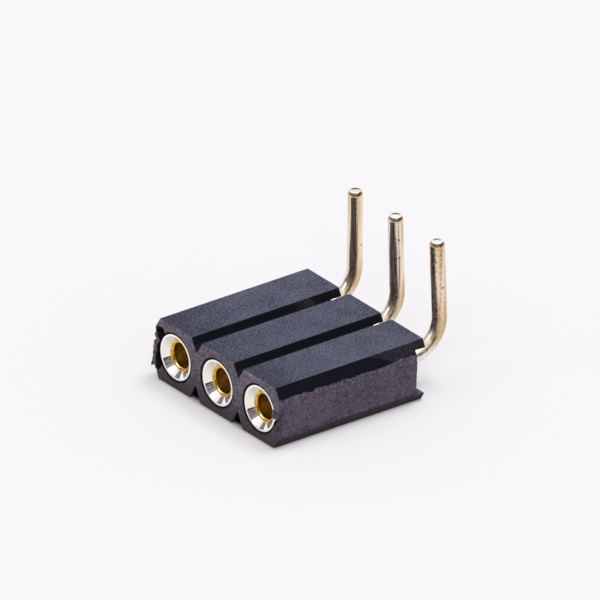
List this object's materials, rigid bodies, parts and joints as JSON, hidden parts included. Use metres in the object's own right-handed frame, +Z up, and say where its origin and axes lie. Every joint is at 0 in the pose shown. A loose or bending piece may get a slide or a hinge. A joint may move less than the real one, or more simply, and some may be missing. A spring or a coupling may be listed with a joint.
{
  "type": "female pin header strip",
  "caption": "Short right-angle female header strip: black moulded housing snapped from a longer row, round turned sockets with spring clips inside, solder tails bent up behind.",
  "frame": {"origin": "centre of the housing's underside, below the middle socket and halfway along the housing's depth", "axes": "+X along the row of sockets; -Y out of the socket mouths; +Z up, along the solder tails"},
  "size_m": [0.0076, 0.0088, 0.0058],
  "materials": {
    "housing": "black glass filled moulding: fine matt flats, smooth notch walls, grainy breaks",
    "sleeve": "turned brass with bright pale plating, light marks and pits on the tails",
    "clip": "thin spring copper alloy with bright gold plating"
  },
  "bodies": {
    "root": {"housing": "housing", "sleeve_1": "sleeve", "sleeve_2": "sleeve", "sleeve_3": "sleeve", "clip_1": "clip", "clip_2": "clip", "clip_3": "clip"}
  },
  "joints": []
}
